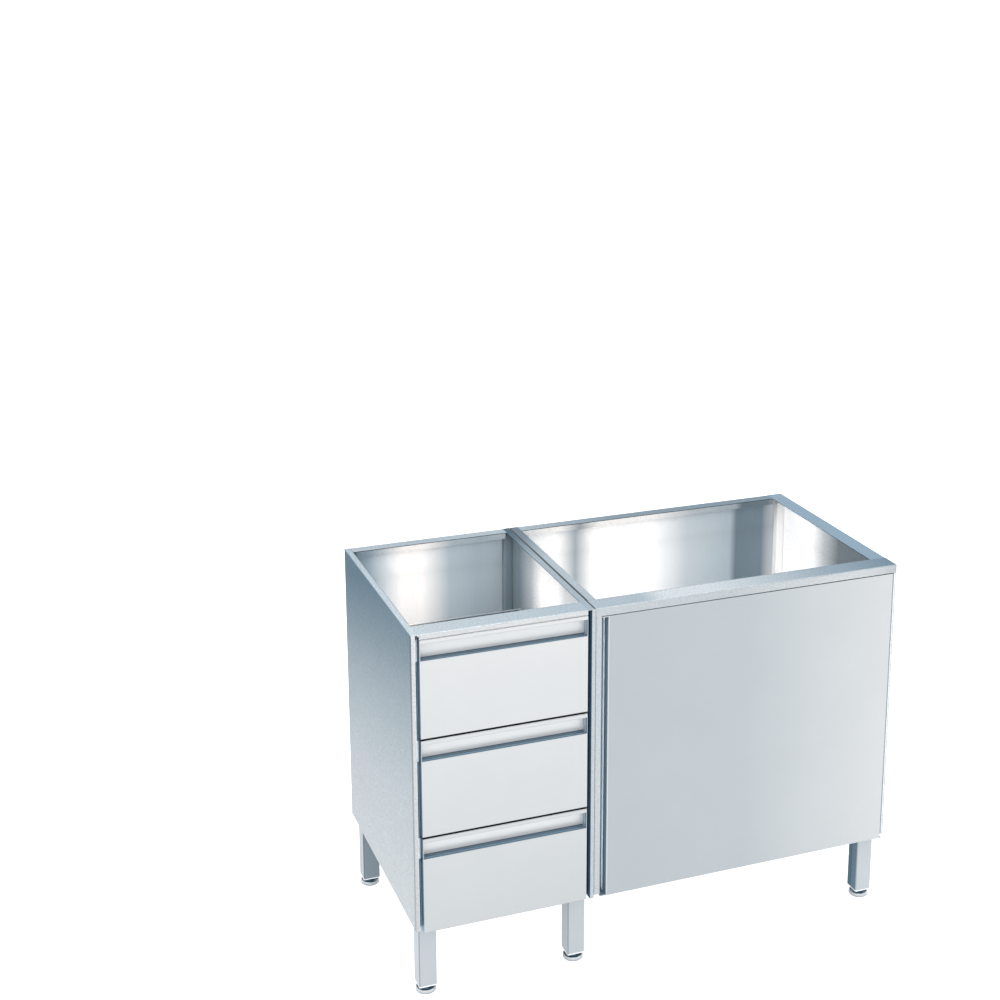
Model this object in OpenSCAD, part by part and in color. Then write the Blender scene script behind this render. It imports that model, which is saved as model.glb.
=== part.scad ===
// Stainless-steel work cabinet on six levelling feet: a three-drawer unit and a one-door unit,
// bolted together side by side. The top is open inside a folded rim that carries a worktop.
// Millimetres, +Z up, fronts face -Y, origin on the floor under the middle of the cabinet.
// Local frame of a unit: x inwards from its side wall, y is the distance behind the front plane.

/* [Cabinet] */
// Width of the drawer unit
drawer_unit_w = 410; // [380:5:600]
// Width of the door unit
door_unit_w = 740; // [500:5:900]
// Depth from the front faces to the back
depth = 545; // [500:5:700]
// Height of the top rim above the floor
rim_h = 850; // [800:5:920]
// Height of the cabinet's underside above the floor
clear_h = 172; // [150:1:220]
// Thickness of the steel sheet
sheet = 1.2; // [0.8:0.1:1.5]
// Outer radius of the sheet's bends
bend_r = 2; // [1.6:0.1:2.4]
// Number of drawers
drawer_count = 3; // [3:1:3]

/* [Stiles] */
// Width of the drawer unit's front stiles
drawer_stile_w = 9.5; // [8:0.5:12]
// Width of the drawer unit's inner flanges beside the stiles
drawer_stile_flange = 9.5; // [8:0.5:11]
// Width of the door unit's stile beside the seam
grip_stile_w = 13.5; // [10:0.5:18]
// Width of the stile beside the door's pivots
pivot_stile_w = 5; // [4:0.5:8]
// Depth of the seam stile's fold behind the door's grip
grip_stile_d = 34; // [33:1:45]
// Depth of the pivot stile's fold behind the door
pivot_stile_d = 25; // [25:0.5:35]
// Width of the door unit's inner flanges beside the stiles
door_stile_flange = 16; // [10:1:20]
// Width of the return flanges at the back and the bottom
return_w = 14; // [10:1:14]

/* [Rim] */
// Width of the rim on the left side
rim_left_w = 14; // [12:1:17]
// Width of the door unit's rim beside the seam
rim_seam_w = 20; // [15:1:40]
// Width of the rim on the right side
rim_right_w = 40; // [20:1:60]
// Depth of the rim at the front
rim_front_w = 50; // [40:1:70]
// Depth of the rim at the back
rim_back_w = 30; // [24:1:60]
// Height of the rim's face over the door
rim_face_h = 18.5; // [17:0.5:40]
// Height of the rim's lip over the drawers
rim_lip_h = 11; // [10:1:20]
// Height of the stiffening folds behind the front rim and under the back rim
rim_fold_h = 15; // [10:1:30]
// Side of the square posts in the back corners
post_side = 20; // [15:1:30]

/* [Drawer fronts] */
// How far the fronts hang below the cabinet's underside
front_drop = 7; // [0:1:12]
// Distance from the unit's side to a drawer front
front_margin = 18.25; // [17.75:0.25:19]
// Depth of a drawer front's folded pan
pan_d = 19.5; // [18:0.5:19.5]
// Height of the grip zone above a pan, with its lip
grip_h = 45; // [35:1:60]
// Height of the lip over the grip recess
grip_lip_h = 10; // [8:1:15]
// Gap between a lip and the front above it
front_gap = 4; // [2:0.5:6]
// Gap between the top drawer's lip and the rim's lip
rim_gap = 1.5; // [1:0.5:4]
// Depth of the fold at a pan's top edge
pull_fold = 5; // [4:0.5:7]
// Depth of the finger slot behind a pan's top edge
slot_h = 14; // [10:1:20]
// Radius of the cove at the foot of the recess
cove_r = 10; // [6:1:12]
// Thickness of the end caps that close a recess
grip_cap_t = 2; // [2:0.5:4]
// Depth of the steel cheeks in front of the caps
cheek_d = 8.5; // [8:0.5:10]
// Thickness of the liner behind a drawer front
liner_d = 16.5; // [12:0.5:24]
// How far the liner's edge stays inside the pan's edge, below and above
liner_inset = [12, 6.5];
// Clearance between the liner and the stiles' flanges
liner_gap = 1.5; // [1:0.5:3]

/* [Drawer boxes] */
// Depth of the drawer boxes
box_d = 350; // [300:10:400]
// Heights of the drawer boxes, from the bottom drawer up
box_heights = [120, 120, 78];
// Height of a box's underside above its front's lower edge
box_rise = 14; // [14:1:24]
// Height of a slide's centre line above the box's underside
slide_rise = 30; // [28:1:40]
// Width of the safe-edge hem on a box's walls
hem_w = 6; // [3:1:10]

/* [Slides] */
// Length of the slides
slide_len = 350; // [300:10:400]
// Height of a slide's outer member
slide_h = 45; // [40:1:50]
// Sideways thickness of a whole slide
slide_w = 12.5; // [12.5:0.5:16]
// Thickness of the slide members
slide_t = 1.5; // [1.2:0.1:1.6]
// Play between slide members
slide_play = 0.6; // [0.4:0.1:0.9]
// Depth of the upright channels that carry the slides
channel_d = 18.3; // [18.3:0.1:20]
// Width of the upright channels
channel_w = 40; // [30:1:60]
// Thickness of the upright channels
channel_t = 1.5; // [1.2:0.1:2]
// Height of the channels above the cabinet's underside
channel_h = 525; // [510:5:560]
// Distance from the front plane to the front channels
channel_front = 60; // [45:5:100]
// Distance from the front plane to the back channels
channel_back = 325; // [250:5:330]

/* [Door] */
// Gap between the door and the rim's face
door_gap = 2; // [1:0.5:4]
// Thickness of the door's folded pan
door_d = 22; // [18:0.5:22]
// Width of the door's grip recess, with the gap beside the stile
grip_w = 15.5; // [15:0.1:25]
// Depth of the door's grip recess
grip_d = 28; // [26:1:30]
// Clearance between the grip's outer wall and the stile
grip_gap = 1.3; // [1:0.1:2]
// Gap between the door and the pivot stile
pivot_gap = 3; // [3:0.5:5]
// Distance of the pivot axis from the door's end and front
pivot_inset = 6; // [6:0.5:7]
// Radius of the pivot pins
pivot_r = 3; // [2.5:0.1:3.5]
// Radial clearance of the pivot pins
pivot_play = 0.05; // [0.02:0.01:0.1]
// Length of the pivot pins
pivot_len = 22; // [15:1:30]
// Thickness of the pivot brackets
bracket_t = 2; // [2:0.5:3]

/* [Shelf] */
// Height of the shelf's top above the floor
shelf_z = 480; // [300:10:600]
// Height of the shelf's folded edges
shelf_edge = 20; // [15:1:40]
// Distance from the front plane to the shelf
shelf_front = 60; // [60:5:150]
// Clearance around the shelf
shelf_gap = 1; // [0.5:0.5:3]

/* [Legs and feet] */
// Side of the square legs
leg_side = 40; // [30:1:50]
// Wall of the legs
leg_wall = 2; // [1.5:0.5:3]
// Radius of the legs' corners
leg_corner = 3; // [2.5:0.5:5]
// Distance from a side wall to a leg
leg_inset_x = 12; // [12:1:16]
// Distance from the front plane to a front leg, which stands behind the fronts' lower edges
leg_inset_front = 24.5; // [24.5:0.5:40]
// Distance from the back plane to a rear leg
leg_inset_back = 16; // [15:1:40]
// Height of the legs' lower ends above the floor
leg_end_h = 20; // [20:1:60]
// Height of the plugs in the legs' ends
plug_h = 24; // [22:1:40]
// Height of the plugs' rims under the legs
plug_rim_h = 2.5; // [1.5:0.5:3]
// Radius of a foot's disc
foot_r = 22.5; // [18:0.5:28]
// Height of a foot's disc
foot_disc_h = 9; // [6:0.5:10]
// Radius of a foot's neck
neck_r = 8; // [7:0.5:9]
// Width across the flats of the lock nut
nut_flats = 17; // [16:1:19]
// Height of the lock nut
nut_h = 6; // [5:0.5:6]
// Radius of a foot's threaded stud
stud_r = 5; // [4:0.5:6]
// Radial clearance between a stud and its plug
stud_play = 0.05; // [0.02:0.01:0.1]
// Length of a foot's stud above its neck
stud_len = 56; // [50:1:80]

/* [Hidden] */
front_y = -depth / 2;
total_w = drawer_unit_w + door_unit_w;
x_left = -total_w / 2;
x_right = total_w / 2;
x_seam = x_left + drawer_unit_w;
eps = 0.01;

// Drawer fronts: one pitch holds a pan, a grip zone and a gap
front_bottom = clear_h - front_drop;
drawer_pitch = (rim_h - rim_lip_h - rim_gap - front_bottom + front_gap) / drawer_count;
pan_h = drawer_pitch - grip_h - front_gap;
pan_w = drawer_unit_w - 2 * front_margin;
stop_gap = 0.5;
stop_d = pan_d + stop_gap;
recess_d = pan_d - sheet;
recess_top = drawer_pitch - front_gap - grip_lip_h;
lip_top = drawer_pitch - front_gap;
slot_floor = pan_h - slot_h;
pan_flange = 12;
liner_x = drawer_stile_w + drawer_stile_flange + liner_gap;
liner_back = pan_d + liner_d;
lip_fold = 7;

// Slides: the outer member stands on the channels, the inner one is on the box
slide_x = sheet + channel_d;
box_x = slide_x + slide_w;
box_w = drawer_unit_w - 2 * box_x;
slide_front = liner_back + 2;
middle_h = slide_h - 2 * (slide_t + slide_play);
middle_x = slide_x + slide_t + slide_play;
inner_h = middle_h - 2 * (slide_t + slide_play);
inner_x = box_x - slide_t;
lip_in = 1;

// Door: its frame starts at the seam
door_x0 = grip_stile_w + grip_w;
door_x1 = door_unit_w - pivot_stile_w - pivot_gap;
door_z0 = front_bottom;
door_z1 = rim_h - rim_face_h - door_gap;
door_flange = 12;
grip_back = grip_d + sheet;
grip_x = grip_stile_w + grip_gap + sheet;
pivot_x = door_x1 - pivot_inset;
pivot_y = pivot_inset;
liner_door_x = door_x0 + 20;
bracket_x = pivot_x - 11;
bracket_gap = 0.5;
bracket_y = pivot_y - pivot_r - 0.5;
low_bracket_d = 60;
high_bracket_d = 40;
block_w = 2 * (door_x1 - sheet - pivot_x);
block_h = 28;
liner_door_inset = 4;
bumper_r = 4;
bumper_from = 60;
bumper_gap = 0.3;

// Bottom sheet and back sheet
floor_z = clear_h + sheet;
floor_top = floor_z + sheet;
back_in = depth - 2 * sheet;
shelf_back = back_in - post_side - shelf_gap;

support_len = 30;
support_w = 14;
support_h = 20;
support_from = 50;

leg_top = clear_h;
leg_x = leg_inset_x + leg_side / 2;
plug_side = leg_side - 2 * leg_wall;
ring_depth = 4.5;
nut_gap = 0.3;
nut_z = leg_end_h - plug_rim_h - nut_gap - nut_h;
neck_top = nut_z + 0.5;

bolt_r = 3;
bolt_hole_r = 3.3;
bolt_head_r = 5.5;
bolt_head_h = 4;
bolt_places = [[150, clear_h + 68], [150, rim_h - 70], [depth - 105, clear_h + 68], [depth - 105, rim_h - 190]];

catch_x = door_x0 + 40;
catch_w = 46;
catch_h = 14;
catch_d = 16;
catch_gap = 0.5;
catch_top = door_z1 - 4;
hanger_inset = 8;
hanger_back = 2;
plate_t = 1.5;
plate_inset = 3;

STEEL = [0.80, 0.83, 0.85];
STEEL_SHADE = [0.66, 0.70, 0.73];
ZINC = [0.72, 0.74, 0.76];
CHROME = [0.85, 0.87, 0.88];
PLASTIC = [0.62, 0.66, 0.68];
RUBBER = [0.15, 0.16, 0.17];

// Folded sheet: a ribbon of one thickness on the right-hand side of a path
function unit(v) = v / norm(v);
function right_of(v) = [v[1], -v[0]];
function mitre(a, b, t) = (right_of(a) + right_of(b)) * t / (1 + right_of(a) * right_of(b));
function headings(path) = [for (i = [0:len(path) - 2]) unit(path[i + 1] - path[i])];
function edge_shift(h, i, t) =
    i == 0 ? right_of(h[0]) * t :
    i == len(h) ? right_of(h[i - 1]) * t :
    mitre(h[i - 1], h[i], t);
function ribbon(path, t) =
    let (h = headings(path))
    concat(path, [for (i = [len(path) - 1:-1:0]) path[i] + edge_shift(h, i, t)]);
function arc(centre, r, from, to, steps) =
    [for (i = [0:steps]) centre + r * [cos(from + (to - from) * i / steps), sin(from + (to - from) * i / steps)]];

// Rounds a path's sharp corners, so that the bend's outer radius is bend_r on either side of the sheet
sharp = 30;
bend_steps = 3;
function turned(v, a) = [v[0] * cos(a) - v[1] * sin(a), v[0] * sin(a) + v[1] * cos(a)];
function turn(a, b) = atan2(a[0] * b[1] - a[1] * b[0], a * b);
function corner(point, a, b, t) =
    let (
        angle = turn(a, b),
        r = angle * t < 0 ? bend_r : bend_r - abs(t),
        side = (angle < 0 ? right_of(a) : -right_of(a)) * r,
        centre = point - a * r * tan(abs(angle) / 2) + side
    )
    [for (j = [0:bend_steps]) centre - turned(side, angle * j / bend_steps)];
function bent(path, t) =
    let (h = headings(path), last = len(path) - 1)
    [for (i = [0:last])
        each i == 0 || i == last || abs(turn(h[i - 1], h[i])) < sharp
            ? [path[i]]
            : corner(path[i], h[i - 1], h[i], t)];

module folded(path, t) polygon(ribbon(bent(path, t), t));

// Extrudes a (y, z) profile along X from x0 to x1
module along_x(x0, x1)
    translate([x0, 0, 0]) rotate([90, 0, 90]) linear_extrude(x1 - x0) children();

// Extrudes an (x, z) profile along Y from y0 to y1
module along_y(y0, y1)
    translate([0, y1, 0]) rotate([90, 0, 0]) linear_extrude(y1 - y0) children();

// Extrudes an (x, y) profile from z0 to z1
module upright(z0, z1) translate([0, 0, z0]) linear_extrude(z1 - z0) children();

module box(low, high) translate(low) cube(high - low);

module rounded_square(side, r) {
    square([side, side - 2 * r], center = true);
    square([side - 2 * r, side], center = true);
    for (sx = [-1, 1], sy = [-1, 1])
        translate([sx * (side / 2 - r), sy * (side / 2 - r)]) circle(r, $fn = 32);
}

// Local frames: x inwards from a unit's side, y behind the front plane
module at_left() translate([x_left, front_y, 0]) children();
module at_seam_drawers() translate([x_seam, front_y, 0]) mirror([1, 0, 0]) children();
module at_seam_door() translate([x_seam, front_y, 0]) children();
module at_right() translate([x_right, front_y, 0]) mirror([1, 0, 0]) children();
module both_sides() {
    children();
    translate([drawer_unit_w, 0, 0]) mirror([1, 0, 0]) children();
}
function drawer_z(k) = front_bottom + (drawer_count - k) * drawer_pitch;
module at_drawer(k) translate([x_left, front_y, drawer_z(k)]) children();
function box_height(k) = box_heights[drawer_count - k];

// Carcass
module side_panel(stile_w, stile_d, flange, stile_z0, stile_z1, rim_w, rim_from) {
    difference() {
        union() {
            upright(stile_z0, stile_z1)
                folded([[stile_w + flange, stile_d], [stile_w, stile_d], [stile_w, 0], [0, 0], [0, stile_d]], sheet);
            upright(clear_h, rim_h - bend_r)
                folded([[0, 2 * sheet], [0, depth], [return_w, depth]], sheet);
            box([0, 2 * sheet, rim_h - bend_r - eps], [sheet, max(rim_from, 3 * sheet), rim_h - sheet]);
            along_y(rim_from, depth)
                folded([[rim_w, rim_h], [0, rim_h], [0, rim_h - 2 * bend_r]], -sheet);
            box([0, stile_d + sheet, clear_h], [return_w, depth, clear_h + sheet]);
        }
        children();
    }
}

module bolt_holes()
    for (place = bolt_places)
        translate([-1, place[0], place[1]]) rotate([0, 90, 0]) cylinder(r = bolt_hole_r, h = sheet + 2, $fn = 32);

module left_side_panel() color(STEEL) at_left()
    side_panel(drawer_stile_w, stop_d, drawer_stile_flange, clear_h, rim_h - sheet, rim_left_w, 0);

module left_inner_side_panel() color(STEEL) at_seam_drawers()
    side_panel(drawer_stile_w, stop_d, drawer_stile_flange, front_bottom, rim_h - sheet, front_margin, 0)
        bolt_holes();

module right_inner_side_panel() color(STEEL) at_seam_door()
    side_panel(grip_stile_w, grip_stile_d, door_stile_flange, clear_h, rim_h - rim_face_h, rim_seam_w, rim_front_w)
        bolt_holes();

module right_side_panel() color(STEEL) at_right()
    side_panel(pivot_stile_w, pivot_stile_d, door_stile_flange, clear_h, rim_h - rim_face_h, rim_right_w, rim_front_w);

module back_panel(w) box([bend_r, back_in, floor_top], [w - bend_r, back_in + sheet, rim_h - bend_r]);
module left_back_panel() color(STEEL_SHADE) at_left() back_panel(drawer_unit_w);
module right_back_panel() color(STEEL_SHADE) at_seam_door() back_panel(door_unit_w);

// Bottom sheet: it lies on the side panels' flanges, and its back edge is folded up.
// Beside a deep stile fold its front edge steps back to step_y over the width step_x.
module bottom_panel(w, from, step_x, step_y) {
    box([sheet, step_y, floor_z], [w - sheet, back_in, floor_top]);
    box([step_x, from, floor_z], [w - sheet, step_y + eps, floor_top]);
    box([sheet + post_side, back_in - sheet, floor_z], [w - sheet - post_side, back_in, floor_z + return_w]);
    box([max(step_x, return_w), from, clear_h], [w - return_w, from + sheet, floor_top]);
}
module left_bottom_panel() color(STEEL_SHADE) at_left() {
    from = stop_d + 2 * sheet;
    bottom_panel(drawer_unit_w, from, sheet, from + sheet);
}
module right_bottom_panel() color(STEEL_SHADE) at_seam_door()
    bottom_panel(door_unit_w, pivot_stile_d + sheet, max(door_x0 + 4, grip_stile_w + door_stile_flange),
                 grip_stile_d + 2 * sheet);

// Rim over the drawers: it lies between the side flanges, and its lip is as wide as the fronts
module left_front_rail() color(STEEL) at_left() {
    along_x(rim_left_w, drawer_unit_w - front_margin)
        folded([[rim_front_w, rim_h - rim_fold_h], [rim_front_w, rim_h], [0, rim_h], [0, rim_h - 2 * bend_r]],
               -sheet);
    box([front_margin, 0, rim_h - rim_lip_h], [drawer_unit_w - front_margin, sheet, rim_h - bend_r]);
    both_sides() box([front_margin, 0, rim_h - rim_lip_h], [front_margin + sheet, pan_d, rim_h - bend_r]);
}

// Rim over the door: its face runs the unit's full width in front of the stiles
module right_front_rail() color(STEEL) at_seam_door() {
    along_x(0, door_unit_w)
        folded([[rim_front_w, rim_h], [0, rim_h], [0, rim_h - rim_face_h]], -sheet);
    box([rim_seam_w, rim_front_w - sheet, rim_h - rim_fold_h], [door_unit_w - rim_right_w, rim_front_w, rim_h]);
    box([grip_stile_w, 0, rim_h - rim_face_h], [bracket_x - 2, pull_fold, rim_h - rim_face_h + sheet]);
}

module back_rail(w, left_w, right_w) {
    inner = depth - rim_back_w;
    along_x(left_w, w - right_w)
        folded([[inner, rim_h], [depth, rim_h], [depth, rim_h - rim_fold_h]], sheet);
    box([sheet + post_side, inner, rim_h - rim_fold_h], [w - max(right_w, sheet + post_side), inner + sheet, rim_h]);
}
module left_back_rail() color(STEEL) at_left() back_rail(drawer_unit_w, rim_left_w, front_margin);
module right_back_rail() color(STEEL) at_seam_door() back_rail(door_unit_w, rim_seam_w, rim_right_w);

module corner_post() {
    translate([sheet + post_side / 2, back_in - post_side / 2, 0])
        upright(floor_top, rim_h - bend_r)
            difference() {
                rounded_square(post_side, 2);
                rounded_square(post_side - 3, 1);
            }
}
module corner_posts() color(STEEL) {
    at_left() corner_post();
    at_seam_drawers() corner_post();
    at_seam_door() corner_post();
    at_right() corner_post();
}

// Legs: x is -1 for left, 0 for the pair beside the seam, 1 for right; y is -1 for front, 1 for rear
function leg_place(x, y) = [
    x < 0 ? x_left + leg_x : x > 0 ? x_right - leg_x : x_seam - leg_x,
    y * (depth - leg_side) / 2 - (y < 0 ? -leg_inset_front : leg_inset_back)
];
module leg(x, y) color(STEEL) translate(leg_place(x, y)) {
    upright(leg_end_h, leg_top)
        difference() {
            rounded_square(leg_side, leg_corner);
            rounded_square(plug_side, leg_corner - leg_wall);
        }
    upright(leg_top - bracket_t, leg_top) rounded_square(leg_side, leg_corner);
}
module leg_front_left() leg(-1, -1);
module leg_front_middle() leg(0, -1);
module leg_front_right() leg(1, -1);
module leg_rear_left() leg(-1, 1);
module leg_rear_middle() leg(0, 1);
module leg_rear_right() leg(1, 1);

// Plugs: pressed into the legs' ends, with a rim under each leg and a threaded hole
module leg_end_plugs() color(PLASTIC)
    for (x = [-1, 0, 1], y = [-1, 1])
        translate(leg_place(x, y))
            difference() {
                union() {
                    upright(leg_end_h - eps, leg_end_h + plug_h) rounded_square(plug_side, leg_corner - leg_wall);
                    upright(leg_end_h - plug_rim_h, leg_end_h) rounded_square(leg_side, leg_corner);
                }
                translate([0, 0, leg_end_h - plug_rim_h - 1])
                    cylinder(r = stud_r + stud_play, h = plug_h + plug_rim_h + 2, $fn = 48);
            }

// Foot: a turned disc with a hollow ring in its top, a neck, a lock nut and a stud
module foot(x, y) color(CHROME) translate(leg_place(x, y)) {
    ring_in = neck_r + 2;
    ring_out = foot_r - 4.5;
    ring_z = foot_disc_h - ring_depth;
    rotate_extrude($fn = 64) polygon([
        [0, 0], [foot_r - 1.5, 0], [foot_r, 1.5], [foot_r, foot_disc_h - 1], [foot_r - 1, foot_disc_h],
        [foot_r - 3, foot_disc_h], [ring_out, ring_z + 1], [(ring_in + ring_out) / 2, ring_z], [ring_in, ring_z + 1],
        [neck_r, foot_disc_h], [neck_r, neck_top], [0, neck_top]
    ]);
    translate([0, 0, nut_z]) cylinder(d = nut_flats / cos(30), h = nut_h, $fn = 6);
    translate([0, 0, neck_top - 1]) cylinder(r = stud_r, h = stud_len + 1, $fn = 48);
}
module foot_front_left() foot(-1, -1);
module foot_front_middle() foot(0, -1);
module foot_front_right() foot(1, -1);
module foot_rear_left() foot(-1, 1);
module foot_rear_middle() foot(0, 1);
module foot_rear_right() foot(1, 1);

// Bolts that hold the two units together, with a head in one unit and a nut in the other
module joining_bolts() color(ZINC) at_seam_door()
    for (place = bolt_places)
        translate([0, place[0], place[1]]) rotate([0, 90, 0]) {
            translate([0, 0, -sheet - bolt_head_h]) cylinder(r = bolt_r, h = 2 * (sheet + bolt_head_h), $fn = 32);
            translate([0, 0, sheet]) cylinder(r = bolt_head_r, h = bolt_head_h, $fn = 32);
            translate([0, 0, -sheet - bolt_head_h]) cylinder(r = bolt_head_r, h = bolt_head_h, $fn = 6);
        }

// Shelf: a sheet with its four edges folded down
module shelf() color(STEEL_SHADE) at_seam_door() {
    x0 = sheet + shelf_gap;
    x1 = door_unit_w - sheet - shelf_gap;
    difference() {
        box([x0, shelf_front, shelf_z - shelf_edge], [x1, shelf_back, shelf_z]);
        box([x0 + sheet, shelf_front + sheet, shelf_z - shelf_edge + sheet],
            [x1 - sheet, shelf_back - sheet, shelf_z - sheet]);
        box([x0 + door_flange, shelf_front + door_flange, shelf_z - shelf_edge - 1],
            [x1 - door_flange, shelf_back - door_flange, shelf_z - sheet]);
    }
}
module shelf_support(y) along_y(y - support_len / 2, y + support_len / 2)
    folded([[sheet, shelf_z - shelf_edge - support_h], [sheet, shelf_z - shelf_edge],
            [sheet + support_w, shelf_z - shelf_edge]], sheet);
module shelf_supports() color(ZINC)
    for (y = [shelf_front + support_from, shelf_back - support_from]) {
        at_seam_door() shelf_support(y);
        at_right() shelf_support(y);
    }

// Slides
module slide_channels() color(ZINC) at_left() both_sides()
    for (y = [channel_front, channel_back])
        upright(floor_top, clear_h + channel_h)
            folded([[sheet, y], [slide_x, y], [slide_x, y + channel_w], [sheet, y + channel_w]], -channel_t);

// Channel of one slide member: web at x, lips towards the box
module member(x, h, lip_x)
    translate([0, slide_front, 0]) rotate([-90, 0, 0]) linear_extrude(slide_len)
        folded([[lip_x, h / 2], [x, h / 2], [x, -h / 2], [lip_x, -h / 2]], -slide_t);
function slide_z(k) = drawer_z(k) + box_rise + slide_rise;

module slide_outer_members() color(ZINC) at_left() both_sides()
    for (k = [1:drawer_count])
        translate([0, 0, slide_z(k)]) member(slide_x, slide_h, inner_x - lip_in);

module slide_middle(k) color(ZINC) at_left() both_sides()
    translate([0, 0, slide_z(k)]) member(middle_x, middle_h, inner_x - lip_in);
module slide_middle_1() slide_middle(1);
module slide_middle_2() slide_middle(2);
module slide_middle_3() slide_middle(3);

// Inner member: web on the box, lips towards the unit's side
module drawer_runners(k) color(ZINC) at_left() both_sides()
    translate([0, slide_front, slide_z(k)]) rotate([-90, 0, 0]) linear_extrude(slide_len)
        folded([[middle_x + slide_t + slide_play, inner_h / 2], [box_x, inner_h / 2],
                [box_x, -inner_h / 2], [middle_x + slide_t + slide_play, -inner_h / 2]], slide_t);

// Drawer front: pan, finger slot, recess and lip are folded from sheet
module drawer_front(k) color(STEEL) at_drawer(k) {
    along_x(front_margin, front_margin + pan_w) {
        folded([[pan_d, pan_flange], [pan_d, 0], [0, 0], [0, pan_h], [pull_fold, pan_h], [pull_fold, slot_floor]],
               sheet);
        folded([[pull_fold, recess_top], [0, recess_top], [0, lip_top], [pull_fold, lip_top]], sheet);
    }
    along_x(front_margin + grip_cap_t, front_margin + pan_w - grip_cap_t)
        folded(concat(
            [[pull_fold, pan_h - 2 * bend_r], [pull_fold, slot_floor]],
            arc([recess_d - cove_r, slot_floor + cove_r], cove_r, -90, 0, 6),
            [[recess_d, recess_top], [sheet, recess_top]]
        ), sheet);
    along_x(front_margin + grip_cap_t, front_margin + pan_w - grip_cap_t)
        folded([[sheet, lip_top], [pan_d, lip_top], [pan_d, lip_top - lip_fold]], sheet);
    both_sides() {
        upright(sheet - eps, slot_floor - sheet)
            folded([[front_margin, sheet - eps], [front_margin, pan_d], [front_margin + pan_flange, pan_d]], sheet);
        along_x(front_margin, front_margin + sheet)
            polygon([[sheet - eps, slot_floor - sheet - eps], [sheet - eps, pan_h - bend_r], [0, pan_h - bend_r],
                     [0, recess_top + bend_r], [sheet - eps, recess_top + bend_r], [sheet - eps, lip_top - sheet + eps],
                     [cheek_d, lip_top - sheet + eps], [cheek_d, slot_floor - sheet - eps]]);
    }
}

module drawer_liner(k) color(STEEL_SHADE) at_drawer(k)
    difference() {
        box([liner_x, pan_d, liner_inset[0]], [drawer_unit_w - liner_x, liner_back, pan_h - liner_inset[1]]);
        box([liner_x + sheet, pan_d - 1, liner_inset[0] + sheet],
            [drawer_unit_w - liner_x - sheet, liner_back - sheet, pan_h - liner_inset[1] - sheet]);
    }

// Box: four walls with inward hems and a floor
module drawer_box(k) color(STEEL_SHADE) at_drawer(k)
    translate([box_x, liner_back, box_rise])
        difference() {
            cube([box_w, box_d, box_height(k)]);
            box([sheet, sheet, sheet], [box_w - sheet, box_d - sheet, box_height(k) - sheet]);
            box([hem_w, hem_w, sheet], [box_w - hem_w, box_d - hem_w, box_height(k) + 1]);
        }

// Caps that close the two ends of the recess, behind the cheeks
module drawer_grip_caps(k) color(PLASTIC) at_drawer(k) both_sides()
    upright(slot_floor - sheet, lip_top)
        polygon([[front_margin, pan_d], [front_margin, cheek_d], [front_margin + sheet, cheek_d],
                 [front_margin + sheet, pull_fold], [front_margin + grip_cap_t, pull_fold],
                 [front_margin + grip_cap_t, pan_d]]);

module drawer_1_front() drawer_front(1);
module drawer_1_liner() drawer_liner(1);
module drawer_1_box() drawer_box(1);
module drawer_1_grip_caps() drawer_grip_caps(1);
module drawer_1_runners() drawer_runners(1);
module drawer_2_front() drawer_front(2);
module drawer_2_liner() drawer_liner(2);
module drawer_2_box() drawer_box(2);
module drawer_2_grip_caps() drawer_grip_caps(2);
module drawer_2_runners() drawer_runners(2);
module drawer_3_front() drawer_front(3);
module drawer_3_liner() drawer_liner(3);
module drawer_3_box() drawer_box(3);
module drawer_3_grip_caps() drawer_grip_caps(3);
module drawer_3_runners() drawer_runners(3);

// Door
module pivot_hole(r) translate([pivot_x, pivot_y, door_z0 - 1]) cylinder(r = r, h = door_z1 - door_z0 + 2, $fn = 48);

module door_skin() color(STEEL) at_seam_door()
    difference() {
        union() {
            upright(door_z0, door_z1)
                folded([[door_x1 - door_flange, door_d], [door_x1, door_d], [door_x1, 0], [door_x0, 0],
                        [door_x0, door_d], [door_x0 + door_flange, door_d]], sheet);
            for (z = [door_z0, door_z1 - sheet])
                upright(z, z + sheet)
                    polygon(bent([[door_x1, door_d], [door_x1, 0], [door_x0, 0], [door_x0, door_d]], sheet));
        }
        pivot_hole(pivot_r + 0.5);
    }

module door_liner() color(STEEL_SHADE) at_seam_door()
    box([liner_door_x, door_d, door_z0 + sheet],
        [door_x1 - liner_door_inset, door_d + sheet, door_z1 - sheet]);

module door_grip() color(STEEL) at_seam_door()
    upright(door_z0 + grip_cap_t, door_z1 - grip_cap_t)
        folded(concat(
            [[liner_door_x, door_d], [door_x0, door_d], [door_x0, grip_d]],
            arc([grip_x + cove_r, grip_d - cove_r], cove_r, 90, 180, 6),
            [[grip_x, pull_fold]]
        ), sheet);

module door_grip_caps() color(PLASTIC) at_seam_door()
    for (z = [door_z0, door_z1 - grip_cap_t])
        upright(z, z + grip_cap_t)
            polygon(concat(
                [[door_x0, 0.3], [door_x0, door_d], [door_x0, grip_back]],
                [[grip_x - sheet, grip_back], [grip_x - sheet, 0.3]]
            ));

module door_pivot_blocks() color(ZINC) at_seam_door()
    difference() {
        for (z = [door_z0 + sheet, door_z1 - sheet - block_h])
            upright(z, z + block_h)
                polygon([[pivot_x - block_w / 2, sheet], [door_x1 - bend_r, sheet], [door_x1 - sheet, bend_r],
                         [door_x1 - sheet, pivot_y + block_w / 2], [pivot_x - block_w / 2, pivot_y + block_w / 2]]);
        pivot_hole(pivot_r + pivot_play);
    }

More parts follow.
